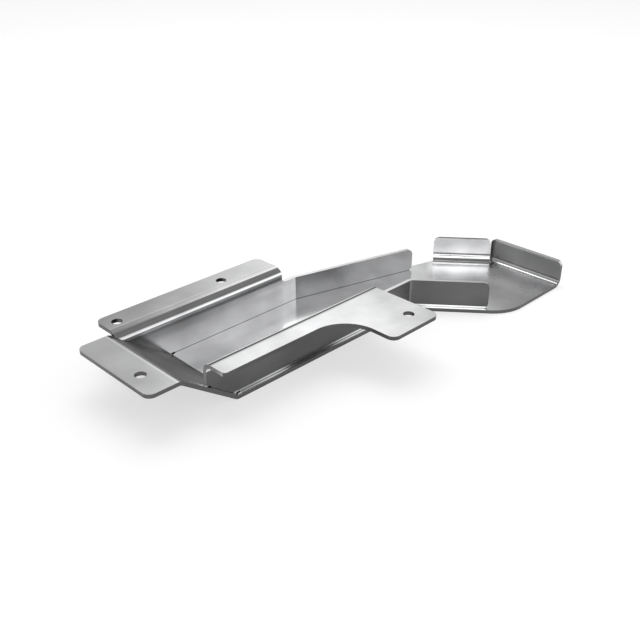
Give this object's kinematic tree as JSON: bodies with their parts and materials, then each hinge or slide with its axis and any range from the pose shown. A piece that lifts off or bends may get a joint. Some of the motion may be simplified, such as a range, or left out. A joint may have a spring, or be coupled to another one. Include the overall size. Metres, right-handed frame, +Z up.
{
  "type": "guard plate",
  "caption": "Welded sheet steel guard: a shallow open channel with flanged rails and drilled fixing tabs, turned aside at one end where two ears close it.",
  "frame": {"origin": "centre of the part's overall length and width, at the underside of the flat bottom plate, which it rests on", "axes": "+X along the channel from the raised fixing tab towards the ears, +Y towards the back rail's flange, +Z up, out of the open channel"},
  "size_m": [0.3818, 0.1666, 0.038],
  "materials": {
    "bottom_plate": "bright satin sheet steel, polished and faintly clouded",
    "back_rail": "bright satin sheet steel, polished and faintly clouded",
    "front_rail": "bright satin sheet steel, polished and faintly clouded"
  },
  "bodies": {
    "root": {"bottom_plate": "bottom_plate", "back_rail": "back_rail", "front_rail": "front_rail"}
  },
  "joints": []
}
